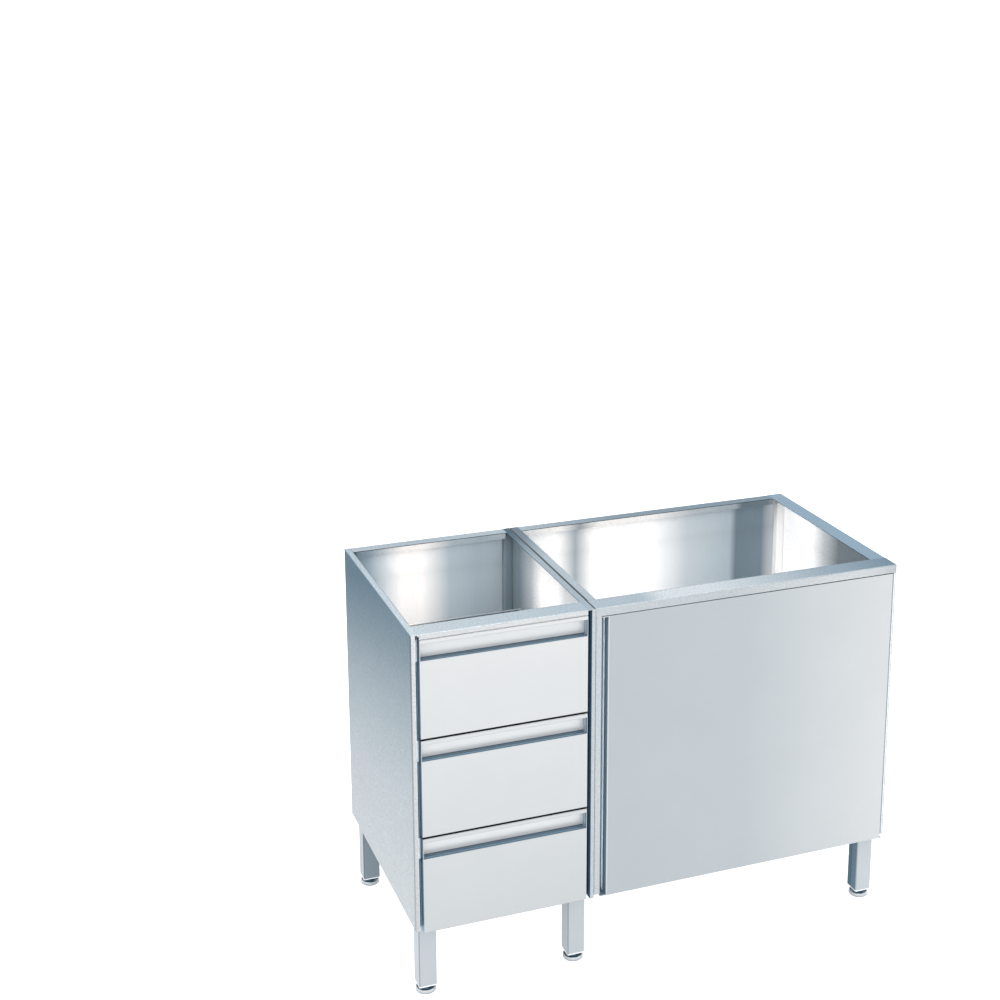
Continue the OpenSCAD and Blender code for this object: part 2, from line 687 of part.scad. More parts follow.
// Brackets with pivot pins: one under the door beside the leg, one over it behind the rim's face
module hinge_brackets() color(ZINC) at_seam_door() {
    low = door_z0 - bracket_gap;
    high = rim_h - rim_face_h;
    wall_x = door_unit_w - bend_r;
    foot_x = door_unit_w - leg_inset_x + 1;
    upright(low - bracket_t, low)
        polygon([[bracket_x, bracket_y], [wall_x, bracket_y], [wall_x, low_bracket_d], [foot_x, low_bracket_d],
                 [foot_x, leg_inset_front - 2], [bracket_x, leg_inset_front - 2]]);
    box([foot_x, pivot_stile_d + sheet, low - bracket_t], [wall_x, low_bracket_d, clear_h]);
    translate([pivot_x, pivot_y, low - eps]) cylinder(r = pivot_r, h = pivot_len + eps, $fn = 48);
    box([bracket_x, sheet, high], [door_unit_w - sheet, high_bracket_d, high + bracket_t]);
    box([door_unit_w - sheet - bracket_t, pivot_stile_d, high],
        [door_unit_w - sheet, high_bracket_d, rim_h - bend_r]);
    translate([pivot_x, pivot_y, high - pivot_len]) cylinder(r = pivot_r, h = pivot_len + eps, $fn = 48);
}

// Magnetic catch hung from the front rim, and its plate on the door
module door_catch() color(PLASTIC) at_seam_door() {
    y0 = door_d + sheet + plate_t + catch_gap;
    box([catch_x, y0, catch_top - catch_h], [catch_x + catch_w, y0 + catch_d, catch_top]);
    box([catch_x + hanger_inset, y0 + hanger_back, catch_top],
        [catch_x + catch_w - hanger_inset, y0 + hanger_back + bracket_t, rim_h - sheet]);
}
module door_catch_plate() color(ZINC) at_seam_door()
    box([catch_x + plate_inset, door_d + sheet, catch_top - catch_h],
        [catch_x + catch_w - plate_inset, door_d + sheet + plate_t, catch_top]);

// Rubber buffers between the door and the stiles' flanges
module bumper(x, y, back, z)
    translate([x, y, z]) rotate([-90, 0, 0]) cylinder(r = bumper_r, h = back - y - bumper_gap, $fn = 32);
module door_bumpers() color(RUBBER) at_seam_door()
    for (z = [door_z0 + bumper_from, door_z1 - bumper_from]) {
        bumper(grip_x + bumper_r + 1, grip_back, grip_stile_d, z);
        bumper(door_x1 - liner_door_inset - bumper_r - 2, door_d + sheet, pivot_stile_d, z);
    }

left_side_panel();
left_inner_side_panel();
right_inner_side_panel();
right_side_panel();
left_back_panel();
right_back_panel();
left_bottom_panel();
right_bottom_panel();
left_front_rail();
right_front_rail();
left_back_rail();
right_back_rail();
corner_posts();
leg_front_left();
leg_front_middle();
leg_front_right();
leg_rear_left();
leg_rear_middle();
leg_rear_right();
leg_end_plugs();
joining_bolts();
shelf();
shelf_supports();
hinge_brackets();
door_catch();
slide_channels();
slide_outer_members();
drawer_1_front();
drawer_1_liner();
drawer_1_box();
drawer_1_grip_caps();
drawer_1_runners();
drawer_2_front();
drawer_2_liner();
drawer_2_box();
drawer_2_grip_caps();
drawer_2_runners();
drawer_3_front();
drawer_3_liner();
drawer_3_box();
drawer_3_grip_caps();
drawer_3_runners();
slide_middle_1();
slide_middle_2();
slide_middle_3();
door_skin();
door_liner();
door_grip();
door_grip_caps();
door_pivot_blocks();
door_catch_plate();
door_bumpers();
foot_front_left();
foot_front_middle();
foot_front_right();
foot_rear_left();
foot_rear_middle();
foot_rear_right();
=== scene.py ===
"""Stainless-steel work cabinet: the material of every surface, with light and shade painted into its
colours; the light and the camera.
"""
import math

import bpy
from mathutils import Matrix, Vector


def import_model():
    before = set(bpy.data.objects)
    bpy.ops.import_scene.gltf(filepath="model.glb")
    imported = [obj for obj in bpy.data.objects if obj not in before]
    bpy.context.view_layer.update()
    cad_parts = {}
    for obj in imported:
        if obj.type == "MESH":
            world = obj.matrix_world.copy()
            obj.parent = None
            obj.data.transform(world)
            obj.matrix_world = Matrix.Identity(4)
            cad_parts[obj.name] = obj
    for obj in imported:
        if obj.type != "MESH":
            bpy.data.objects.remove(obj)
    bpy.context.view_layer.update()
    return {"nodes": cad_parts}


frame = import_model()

NODES = frame["nodes"]

# Places of the part, in metres
LEFT_X = -0.575
LEFT_FOLD_X = -0.5583
BOX_LEFT_WALL_X = -0.45
DRAWER_MIDDLE_X = -0.37
SEAM_X = -0.165
RIGHT_X = 0.575
FRONT_Y = -0.2725
BACK_Y = 0.2725
RIM_TOP = 0.85
RIM_LEFT_W = 0.014
RIM_FRONT_W = 0.050
FRONT_BOTTOM = 0.165
DRAWER_PITCH = 0.2255
DRAWER_COUNT = 3
PAN_TOP = 0.1765
PAN_TOP_Z = FRONT_BOTTOM + PAN_TOP
NEXT_FRONT_Z = FRONT_BOTTOM + DRAWER_PITCH
TOP_LIP_Z = FRONT_BOTTOM + DRAWER_COUNT * DRAWER_PITCH - 0.01
SKIN_BACK_Y = FRONT_Y + 0.003
BEND_BACK_Y = FRONT_Y + 0.004
STILE_BACK_Y = FRONT_Y + 0.010
SEAM_STILE_FOLD_Y = -0.25
RIGHT_STILE_FOLD_Y = -0.245
SEAM_GLEAM_Y = -0.2625
SEAM_GLEAM_REACH = 0.0028
FOLD_DROP = 0.0094
PAN_EDGE_DROP = 0.003
SEAM_SHADOW_W = 0.0036
RIM_INNER_SHADOW_W = 0.0013
RIM_EDGE = RIM_TOP - 0.0014
FOOT_RIM_W = 0.003
# How softly one painted tone turns into the next, and how far in from an edge it is worn and lightened as
# a painted highlight
SPLIT_SOFTNESS = 0.0004
CIRCLE_SOFTNESS = 0.0003
WEAR_AND_HIGHLIGHT_REACH = 0.0012
# Where the rim shades the walls below it, and where the outer side is painted darker at its front bend
RIM_SHADE_Z = (0.765, 0.835)
RIM_SHADE_GAIN = 1.7
SIDE_BEND_Y = (FRONT_Y + 0.011, FRONT_Y + 0.007)
SIDE_BEND_GAIN = 0.68

# The studio's strength, and how brightly it lights the faces of each kind
WORLD_LIGHT = 2.0
TOP_LIGHT_W = 220.0
SIDE_LIGHT = 2.0
FRONT_LIGHT = 2.16
TOP_LIGHT = 3.9
BEND_LIGHT = 3.2
INSIDE_LIGHT = 1.25
RECESS_LIGHT = 1.7
GAP_LIGHT = 1.1
SLOT_LIGHT = 0.9
CREVICE_LIGHT = 0.7
FOLD_LIGHT = 0.65
LIP_EDGE_LIGHT = 1.2
LIP_LIGHT = 0.28
CORNER_LIGHT = 1.6
DOOR_BEND_LIGHT = 3.0
RIGHT_STILE_LIGHT = 0.8
GRIP_LIGHT = 0.38
LEG_LIGHT = 1.9
BOX_LIGHT = 2.3
BOX_EDGE_LIGHT = 3.6
CUP_LIGHT = 1.5
STEEL_GLOSS_TINT = (0.5, 0.55, 0.6, 1.0)
# A level over 255, for walls that the studio burns out
WHITE = 278

ALONG_X = (1.0, 0.0, 0.0)
ALONG_Y = (0.0, 1.0, 0.0)
ALONG_Z = (0.0, 0.0, 1.0)
# The outer side's painted shade gets darker towards the top, and a little towards the back
ALONG_SIDE = (0.0, 0.24, 1.0)

GRAIN_STRETCH = 60.0
GRAIN_ALONG = {
    "x": (1.0, GRAIN_STRETCH, GRAIN_STRETCH),
    "y": (GRAIN_STRETCH, 1.0, GRAIN_STRETCH),
    "z": (GRAIN_STRETCH, GRAIN_STRETCH, 1.0),
}
# How far a normal leans towards a side before that side's painted light and shade starts, and where it is
# full
LEAN_START = 0.5
LEAN_FULL = 0.85
BEND_START = 0.15
BEND_FULL = 0.35
DIRECTIONS = {"left": ("X", -1), "right": ("X", 1), "back": ("Y", 1), "top": ("Z", 1)}


# Colours

def linear(value):
    """One sRGB channel, 0 to 255, as a linear number."""
    value /= 255.0
    return value / 12.92 if value <= 0.04045 else ((value + 0.055) / 1.055) ** 2.4


def tone(level, light=FRONT_LIGHT, blue=1.0):
    """Blue-grey steel: level is its brightness in the studio, 0 to 255, and blue how cold it looks. The
    colour is that brightness divided by how brightly the place is lit, so the light and shade seen there
    are painted into it.
    """
    shade = (255 - level) * blue
    return tuple(linear(v) / light for v in (level, level + 0.15 * shade, level + 0.25 * shade)) + (1.0,)


# Node trees

class Tree:
    """A material's node tree with short calls that add a node and wire it up."""

    def __init__(self, name):
        self.material = bpy.data.materials.new(name)
        self.material.use_nodes = True
        self.tree = self.material.node_tree
        self.shader = self.tree.nodes["Principled BSDF"]

    def add(self, kind, **settings):
        node = self.tree.nodes.new(kind)
        for key, value in settings.items():
            setattr(node, key, value)
        return node

    def wire(self, source, target):
        self.tree.links.new(source, target)

    def set(self, values):
        """Numbers and colours of the shader's own sockets."""
        for name, value in values.items():
            self.shader.inputs[name].default_value = value

    def scaled(self, vector, scale):
        node = self.add("ShaderNodeVectorMath", operation="MULTIPLY")
        self.wire(vector, node.inputs[0])
        node.inputs[1].default_value = scale
        return node.outputs[0]

    def dot(self, vector, direction):
        node = self.add("ShaderNodeVectorMath", operation="DOT_PRODUCT")
        self.wire(vector, node.inputs[0])
        node.inputs[1].default_value = direction
        return node.outputs["Value"]

    def noise(self, vector, scale, detail, rough=0.6):
        node = self.add("ShaderNodeTexNoise")
        self.wire(vector, node.inputs["Vector"])
        node.inputs["Scale"].default_value = scale
        node.inputs["Detail"].default_value = detail
        node.inputs["Roughness"].default_value = rough
        return node.outputs["Fac"]

    def remap(self, value, low, high, out_low=0.0, out_high=1.0):
        node = self.add("ShaderNodeMapRange")
        self.wire(value, node.inputs["Value"])
        node.inputs["From Min"].default_value = low
        node.inputs["From Max"].default_value = high
        node.inputs["To Min"].default_value = out_low
        node.inputs["To Max"].default_value = out_high
        return node.outputs["Result"]

    def spread(self, noise, low, high):
        """A noise, which mostly lies between 0.3 and 0.7, spread from low to high."""
        return self.remap(noise, 0.3, 0.7, low, high)

    def ramp(self, value, stops):
        """A colour ramp: stops are (position, linear colour) pairs."""
        node = self.add("ShaderNodeValToRGB")
        points = node.color_ramp.elements
        while len(points) < len(stops):
            points.new(0.5)
        for point, (position, colour) in zip(points, stops):
            point.position = position
            point.color = colour
        self.wire(value, node.inputs["Fac"])
        return node.outputs["Color"]

    def wrapped(self, value, low, high):
        node = self.add("ShaderNodeMath", operation="WRAP")
        self.wire(value, node.inputs[0])
        node.inputs[1].default_value = high
        node.inputs[2].default_value = low
        return node.outputs[0]

    def mix(self, factor, first, second, blend="MIX"):
        node = self.add("ShaderNodeMix", data_type="RGBA", blend_type=blend)
        if isinstance(factor, float):
            node.inputs["Factor"].default_value = factor
        else:
            self.wire(factor, node.inputs["Factor"])
        for socket, value in ((node.inputs[6], first), (node.inputs[7], second)):
            if isinstance(value, tuple):
                socket.default_value = value
            else:
                self.wire(value, socket)
        return node.outputs[2]

    def times(self, first, second):
        node = self.add("ShaderNodeMath", operation="MULTIPLY")
        self.wire(first, node.inputs[0])
        self.wire(second, node.inputs[1])
        return node.outputs[0]

    def grey(self, value):
        node = self.add("ShaderNodeCombineColor")
        for socket in node.inputs[:3]:
            self.wire(value, socket)
        return node.outputs[0]

    def tinted(self, colour, gain):
        """A colour made lighter or darker by a number."""
        return self.mix(1.0, colour, self.grey(gain), "MULTIPLY")

    def painted_tone(self, value, place):
        """A painted tone as it is, or the output of a ramp, split, band or lift, which paint light and
        shade across a surface.
        """
        return value.wire(self, place) if hasattr(value, "wire") else value

    def worn_and_highlit(self, place):
        """How near a sharp edge is, for wear and a painted edge highlight: 0 on a flat face and up to 1
        on a sharp edge, broken up by a noise.
        """
        rounded = self.add("ShaderNodeBevel", samples=4)
        rounded.inputs["Radius"].default_value = WEAR_AND_HIGHLIGHT_REACH
        shape = self.add("ShaderNodeNewGeometry")
        turned = self.add("ShaderNodeVectorMath", operation="DOT_PRODUCT")
        self.wire(rounded.outputs["Normal"], turned.inputs[0])
        self.wire(shape.outputs["Normal"], turned.inputs[1])
        near = self.remap(turned.outputs["Value"], low=0.98, high=0.80)
        patches = self.remap(self.noise(place, scale=60.0, detail=3.0), 0.40, 0.62, 0.15, 1.0)
        return self.times(near, patches)

    def bump(self, height, strength, distance):
        node = self.add("ShaderNodeBump")
        self.wire(height, node.inputs["Height"])
        node.inputs["Strength"].default_value = strength
        node.inputs["Distance"].default_value = distance
        self.wire(node.outputs["Normal"], self.shader.inputs["Normal"])


# Painted light and shade that change from place to place

class Ramp:
    """Painted tones of light and shade at places along a direction: stops are (metres, level or colour)
    pairs in the row frame.
    """

    def __init__(self, along, light, blue, *stops, period=None):
        self.along = along
        self.period = period
        self.places = [at for at, level in stops]
        self.colours = [
            level if isinstance(level, tuple) else tone(level, light, blue) for at, level in stops
        ]

    def wire(self, tree, place):
        low, high = self.places[0], self.places[-1]
        at = tree.dot(place, self.along)
        if self.period:
            at = tree.wrapped(at, low, low + self.period)
        positions = [(stop - low) / (high - low) for stop in self.places]
        return tree.ramp(tree.remap(at, low, high), list(zip(positions, self.colours)))


class Split:
    """One painted tone of light and shade up to a place along a direction, and another beyond it."""

    def __init__(self, along, at, first, second):
        self.along = along
        self.at = at
        self.first = first
        self.second = second

    def wire(self, tree, place):
        low, high = self.at - SPLIT_SOFTNESS, self.at + SPLIT_SOFTNESS
        mask = tree.remap(tree.dot(place, self.along), low, high)
        return tree.mix(mask, tree.painted_tone(self.first, place), tree.painted_tone(self.second, place))


class Around:
    """One painted tone of light and shade within a circle about an upright axis, and another outside it.
    """

    def __init__(self, centre, radius, inner, outer):
        self.centre = centre
        self.radius = radius
        self.inner = inner
        self.outer = outer

    def wire(self, tree, place):
        offset = tree.add("ShaderNodeVectorMath", operation="SUBTRACT")
        tree.wire(tree.scaled(place, (1.0, 1.0, 0.0)), offset.inputs[0])
        offset.inputs[1].default_value = (self.centre[0], self.centre[1], 0.0)
        length = tree.add("ShaderNodeVectorMath", operation="LENGTH")
        tree.wire(offset.outputs[0], length.inputs[0])
        low, high = self.radius - CIRCLE_SOFTNESS, self.radius + CIRCLE_SOFTNESS
        mask = tree.remap(length.outputs["Value"], low, high)
        return tree.mix(mask, tree.painted_tone(self.inner, place), tree.painted_tone(self.outer, place))


class Band:
    """A soft band of one painted tone across another, as a painted band of reflected light and shade."""

    def __init__(self, under, along, centre, reach, colour):
        self.under = under
        self.along = along
        self.centre = centre
        self.reach = reach
        self.colour = colour

    def wire(self, tree, place):
        at = tree.dot(place, self.along)
        rise = tree.remap(at, self.centre - self.reach, self.centre)
        fall = tree.remap(at, self.centre, self.centre + self.reach, 1.0, 0.0)
        return tree.mix(tree.times(rise, fall), tree.painted_tone(self.under, place), self.colour)


class Lift:
    """A painted tone made lighter or darker from one place to another along a direction, as painted light
    and shade.
    """

    def __init__(self, under, along, places, gain):
        self.under = under
        self.along = along
        self.places = places
        self.gain = gain

    def wire(self, tree, place):
        gain = tree.remap(tree.dot(place, self.along), *self.places, 1.0, self.gain)
        return tree.tinted(tree.painted_tone(self.under, place), gain)


# Materials

def steel(name, base, rough=0.34, grain="z", metal=0.35, brush=0.015, fleck=0.0, gloss=0.2,
          index=1.5, top_bend_light_and_shade=None, left_bend_light_and_shade=None, **faces):
    """Satin steel with a brushed grain, soft clouds, and edges that are worn and lightened as a painted
    highlight.

    brush and fleck are how strongly the grain and the specks show. Faces that look another way may have
    painted light and shade of their own, and so may the bends at the front: painted light and shade on
    the top bends and on the left bends.
    """
    clouds = 0.012
    wear_and_highlight = 0.08
    tree = Tree(name)
    coords = tree.add("ShaderNodeTexCoord")
    place = coords.outputs["Object"]
    normal = tree.add("ShaderNodeSeparateXYZ")
    tree.wire(coords.outputs["Normal"], normal.inputs[0])
    colour = tree.painted_tone(base, place)
    # Faces that look left, right, up or back get painted light and shade of their own
    for side, value in faces.items():
        axis, sign = DIRECTIONS[side]
        mask = tree.remap(normal.outputs[axis], sign * LEAN_START, sign * LEAN_FULL)
        colour = tree.mix(mask, colour, tree.painted_tone(value, place))
    # Painted highlights and shade on the bends at the front: the top bends and the left bends
    for bend, axis, sign in ((top_bend_light_and_shade, "Z", 1), (left_bend_light_and_shade, "X", -1)):
        if bend:
            lean = tree.remap(normal.outputs[axis], sign * BEND_START, sign * BEND_FULL)
            out = tree.remap(normal.outputs["Y"], -BEND_START, -BEND_FULL)
            colour = tree.mix(tree.times(lean, out), colour, tree.painted_tone(bend, place))
    lines = tree.noise(tree.scaled(place, GRAIN_ALONG[grain]), scale=22.0, detail=3.0)
    cloud = tree.noise(place, scale=9.0, detail=3.0)
    tint = tree.times(tree.spread(lines, 1.0 - brush, 1.0 + brush),
                      tree.spread(cloud, 1.0 - clouds, 1.0 + clouds))
    # Sharp edges are lighter in colour, as wear and a painted highlight, and a little smoother
    worn_and_highlit = tree.worn_and_highlit(place)
    tint = tree.times(tint, tree.remap(worn_and_highlit, 0.0, 1.0, 1.0, 1.0 + wear_and_highlight))
    if fleck:
        speck = tree.noise(place, scale=260.0, detail=2.0)
        up = tree.remap(normal.outputs["Z"], LEAN_START, LEAN_FULL, 0.4, 1.0)
        bright = tree.times(tree.spread(speck, -fleck, fleck), up)
        tint = tree.times(tint, tree.remap(bright, -1.0, 1.0, 0.0, 2.0))
    tree.wire(tree.tinted(colour, tint), tree.shader.inputs["Base Color"])
    polish = tree.times(tree.spread(lines, rough - 0.04, rough + 0.05),
                        tree.remap(worn_and_highlit, 0.0, 1.0, 1.0, 0.75))
    tree.wire(polish, tree.shader.inputs["Roughness"])
    tree.set({"Metallic": metal, "Specular IOR Level": gloss, "IOR": index,
              "Specular Tint": STEEL_GLOSS_TINT})
    tree.bump(lines, strength=0.05, distance=0.0003)
    return tree.material


def plain(name, colour, rough, metal=0.0, depth=0.1):
    """Moulded plastic, rubber or plated metal: a fine grain in the bump and the colour."""
    pits = 0.12
    wear_and_highlight = 0.12
    tree = Tree(name)
    place = tree.add("ShaderNodeTexCoord").outputs["Object"]
    grain = tree.noise(place, scale=700.0, detail=2.0, rough=0.5)
    dark = tuple(channel * (1.0 - pits) for channel in colour[:3]) + (1.0,)
    grained = tree.mix(tree.remap(grain, 0.35, 0.65), dark, colour)
    # Sharp edges are lighter in colour, as wear and a painted highlight
    worn_and_highlit = tree.remap(tree.worn_and_highlit(place), 0.0, 1.0, 1.0, 1.0 + wear_and_highlight)
    tree.wire(tree.tinted(grained, worn_and_highlit), tree.shader.inputs["Base Color"])
    tree.wire(tree.spread(grain, rough - 0.04, rough + 0.04), tree.shader.inputs["Roughness"])
    tree.set({"Metallic": metal})
    tree.bump(grain, strength=depth, distance=0.0002)
    return tree.material


# Tones shared by several pieces: painted shade in gaps and deep places, a painted shadow line, the stiles
# and backs painted lighter and darker up their height, and the hidden walls' tone
GAP_SHADE = tone(96, GAP_LIGHT, 0.9)
DEEP_SHADE = tone(48, GAP_LIGHT, 1.2)
SHADOW_LINE = tone(16, TOP_LIGHT, 0.2)
STILE = Ramp(ALONG_Z, FRONT_LIGHT, 0.9, (FRONT_BOTTOM, 212), (RIM_TOP, 230))
BACK_SIDE = Ramp(ALONG_Z, SIDE_LIGHT, 0.9, (0.17, 212), (0.50, 194), (RIM_TOP, 165))
HIDDEN_WALL = tone(250, INSIDE_LIGHT)


def under_rim(wall):
    """A wall's painted tone, with a painted dark line of shade along the edge of the rim above it."""
    return Split(ALONG_Z, RIM_EDGE, wall, SHADOW_LINE)


def near_rim(wall):
    """A wall's painted tone, painted lighter where the rim shades it."""
    return Lift(wall, ALONG_Z, RIM_SHADE_Z, RIM_SHADE_GAIN)


# Rim: top faces of the rails and panels, with painted light and reflections across them, a painted shadow
# line along their inner edges, and painted light on the front face and bend
FRONT_FLANGE = Split(
    ALONG_Y, FRONT_Y + RIM_FRONT_W - RIM_INNER_SHADOW_W,
    Ramp(ALONG_X, TOP_LIGHT, 1.3, (LEFT_X, 199), (-0.37, 185), (-0.20, 172), (-0.05, 168), (0.0, 212),
         (0.11, 211), (0.41, 138), (RIGHT_X, 92)),
    tone(128, TOP_LIGHT))
BACK_FLANGE = Ramp(ALONG_X, TOP_LIGHT, 1.0, (LEFT_X, 164), (-0.40, 154), (-0.20, 161), (0.10, 112),
                   (RIGHT_X, 102))
LEFT_FLANGE_TONE = Ramp(ALONG_Y, TOP_LIGHT, 1.2, (FRONT_Y, 196), (0.0, 183), (BACK_Y, 172))
LEFT_FLANGE = Split(
    ALONG_X, LEFT_X + RIM_LEFT_W - RIM_INNER_SHADOW_W, LEFT_FLANGE_TONE,
    Split(ALONG_Y, FRONT_Y + RIM_FRONT_W, LEFT_FLANGE_TONE, tone(130, TOP_LIGHT)))
SEAM_FLANGE = Ramp(ALONG_Y, TOP_LIGHT, 1.0, (FRONT_Y, 151), (0.05, 147), (0.13, 116), (0.19, 68),
                   (0.24, 46))
RIGHT_FLANGE = Ramp(ALONG_Y, TOP_LIGHT, 1.5, (FRONT_Y, 100), (BACK_Y, 98))
# Painted light and reflections along the rim's front face
RIM_FACE = Ramp(ALONG_X, FRONT_LIGHT, 1.0, (SEAM_X, 210), (0.15, 205), (0.47, 223), (0.53, 218),
                (RIGHT_X, 200))
# Painted light and shade of the bend between the rim's top and its front
RIM_BEND = tone(198, BEND_LIGHT)


# Inside: bands of light and shade on the walls

def left_back(light):
    return Ramp(ALONG_X, light, 1.2, (LEFT_X, 96), (-0.52, 158), (-0.48, 222), (-0.44, WHITE),
                (-0.39, WHITE), (-0.32, 190), (-0.25, 178), (SEAM_X, 200))


def right_back(light):
    wall = Ramp(ALONG_X, light, 1.0, (SEAM_X, 225), (-0.06, WHITE), (0.20, WHITE), (0.31, 203),
                (0.43, 177), (0.447, tone(116, light, 0.7)), (0.52, tone(121, light, 0.8)),
                (RIGHT_X, 250))
    return Band(wall, ALONG_X, 0.005, 0.05, tone(172, light, 0.7))


SEAM_WALL = Ramp(ALONG_Y, INSIDE_LIGHT, 0.7, (-0.10, 236), (-0.05, WHITE), (0.05, WHITE), (0.12, 190),
                 (0.20, 132), (BACK_Y, 138))
RIGHT_WALL = near_rim(Ramp(ALONG_Y, INSIDE_LIGHT, 0.4, (FRONT_Y, 96), (-0.02, 116), (0.05, 196),
                           (0.11, WHITE), (BACK_Y, WHITE)))
POST = Ramp(ALONG_X, INSIDE_LIGHT, 0.8, (LEFT_X, 130), (-0.30, 150), (SEAM_X, 136), (0.30, 150),
            (RIGHT_X, WHITE))
POST_SIDE = Ramp(ALONG_X, INSIDE_LIGHT, 0.8, (LEFT_X, 110), (SEAM_X, 138), (0.30, 150),
                 (RIGHT_X, WHITE))


# Outer faces of the sides, and the folds beside the drawers, with painted light and shade

def fold(beside_pan, beside_strip):
    """Painted shade and light on the fold beside the drawers, which change with the drawer's own front.
    """
    bottom = FRONT_BOTTOM - FOLD_DROP
    return Ramp(ALONG_Z, FOLD_LIGHT, 0.9, (bottom, beside_pan), (bottom + PAN_TOP, beside_pan),
                (bottom + PAN_TOP + 0.0006, beside_strip),
                (bottom + DRAWER_PITCH - 0.003, beside_strip),
                (bottom + DRAWER_PITCH, beside_pan), period=DRAWER_PITCH)


# Painted shade on the outer side: darker towards the top and back, and darker at its front bend
OUTER_SIDE = Lift(
    Ramp(ALONG_SIDE, SIDE_LIGHT, 1.0, (0.17, 210), (0.40, 197), (0.60, 170), (0.76, 131), (0.86, 104)),
    ALONG_Y, SIDE_BEND_Y, SIDE_BEND_GAIN)
LEFT_FRONT = Split(ALONG_Y, STILE_BACK_Y, STILE,
                   Split(ALONG_X, LEFT_FOLD_X, fold(52, 216), fold(116, 204)))
SEAM_FRONT = tone(208)
# Painted shadow line on the seam's side faces beyond the bend
SEAM_SIDE = Split(ALONG_Y, BEND_BACK_Y, tone(170), SHADOW_LINE)
# Painted shade deep in the seam's gap, with a painted gleam across it
SEAM_GAP = Band(DEEP_SHADE, ALONG_Y, SEAM_GLEAM_Y, SEAM_GLEAM_REACH, tone(104, GAP_LIGHT, 1.3))


# Drawer fronts, with painted light and shade that repeat at the drawers' pitch
# Painted light: the pans lighter towards the top
PAN = Ramp(ALONG_Z, FRONT_LIGHT, 0.9, (FRONT_BOTTOM, 219), (0.34, 224), (0.42, 227), (RIM_TOP, 240))
# Painted light and shade in the grip recess: a dark band above each pan, and the recess wall painted
# lighter where it is shaded
RECESS = Ramp(
    ALONG_Z, RECESS_LIGHT, 1.5, (FRONT_BOTTOM, 165), (PAN_TOP_Z - 0.0022, 165), (PAN_TOP_Z - 0.0018, 92),
    (PAN_TOP_Z - 0.0004, 92), (PAN_TOP_Z + 0.0002, 262), (PAN_TOP_Z + 0.006, 246),
    (PAN_TOP_Z + 0.013, 240), (NEXT_FRONT_Z, 240), period=DRAWER_PITCH)
# Painted shade on the pans' tops, and a painted shadow line on the lips' tops
PAN_UPWARD = Ramp(ALONG_Z, GAP_LIGHT, 1.3, (FRONT_BOTTOM, 102), (FRONT_BOTTOM + 0.19, 102),
                  (FRONT_BOTTOM + 0.20, SHADOW_LINE), (NEXT_FRONT_Z, SHADOW_LINE), period=DRAWER_PITCH)
# The top lip, painted lighter where it is shaded
TOP_LIP = Split(ALONG_Y, SKIN_BACK_Y, tone(225, LIP_EDGE_LIGHT), tone(235, LIP_LIGHT))
UPWARD = Split(ALONG_Z, TOP_LIP_Z, PAN_UPWARD, TOP_LIP)
# Painted shade and light on the pans' top bends
PAN_BEND = Ramp(ALONG_Z, BEND_LIGHT, 1.0, (FRONT_BOTTOM, 66), (PAN_TOP_Z + 0.02, 66),
                (PAN_TOP_Z + 0.021, 215), (NEXT_FRONT_Z, 215), period=DRAWER_PITCH)
# Painted shade on the pans' left sides, seen in the gap beside the stile
PAN_EDGE = Ramp(ALONG_Z, FOLD_LIGHT, 1.0, (FRONT_BOTTOM - PAN_EDGE_DROP, 100),
                (PAN_TOP_Z - PAN_EDGE_DROP, 100), (PAN_TOP_Z - PAN_EDGE_DROP + 0.0004, 44),
                (NEXT_FRONT_Z - PAN_EDGE_DROP, 44), period=DRAWER_PITCH)

# Door, with painted light, shade and reflections across its faces
DOOR_FRONT = Ramp(ALONG_X, FRONT_LIGHT, 1.0, (SEAM_X, 199), (0.20, 203), (0.45, 223), (RIGHT_X, 232))
DOOR_EDGE = Ramp(ALONG_Y, GAP_LIGHT, 1.2, (-0.2715, 112), (-0.2685, 152), (-0.2650, 112),
                 (-0.2600, 148), (-0.2550, 104))
DOOR_TOP = Split(
    ALONG_Y, SKIN_BACK_Y,
    Ramp(ALONG_X, BEND_LIGHT, 1.0, (SEAM_X, 205), (0.10, 186), (0.40, 96), (RIGHT_X, 60)),
    Ramp(ALONG_X, CREVICE_LIGHT, 1.0, (SEAM_X, 215), (0.10, 186), (0.40, 70), (RIGHT_X, 50)))
DOOR_BEND = Ramp(ALONG_X, DOOR_BEND_LIGHT, 1.0, (SEAM_X, 203), (0.10, 196), (0.40, 130), (RIGHT_X, 100))

# Steel of the side panels, back panels and rails, each face with its painted light and shade
LEFT_SIDE = steel("left_side_steel", LEFT_FRONT, left=OUTER_SIDE, right=under_rim(HIDDEN_WALL),
                  top=LEFT_FLANGE, back=BACK_SIDE, grain="y", fleck=0.3, metal=0.0, gloss=0.5,
                  index=1.02)
SEAM_LEFT = steel("seam_left_steel", Split(ALONG_Y, STILE_BACK_Y, SEAM_FRONT, GAP_SHADE),
                  left=Split(ALONG_Y, SEAM_STILE_FOLD_Y, SEAM_GAP, under_rim(SEAM_WALL)),
                  top=Split(ALONG_X, SEAM_X - SEAM_SHADOW_W, SEAM_FLANGE, SHADOW_LINE), right=SEAM_SIDE,
                  back=BACK_SIDE, brush=0.004, gloss=0.05, fleck=0.3, metal=0.05)
SEAM_RIGHT = steel("seam_right_steel", SEAM_FRONT, right=HIDDEN_WALL,
                   top=Split(ALONG_X, SEAM_X + SEAM_SHADOW_W / 2, SHADOW_LINE, SEAM_FLANGE), left=SEAM_SIDE,
                   back=BACK_SIDE, fleck=0.3, metal=0.05)
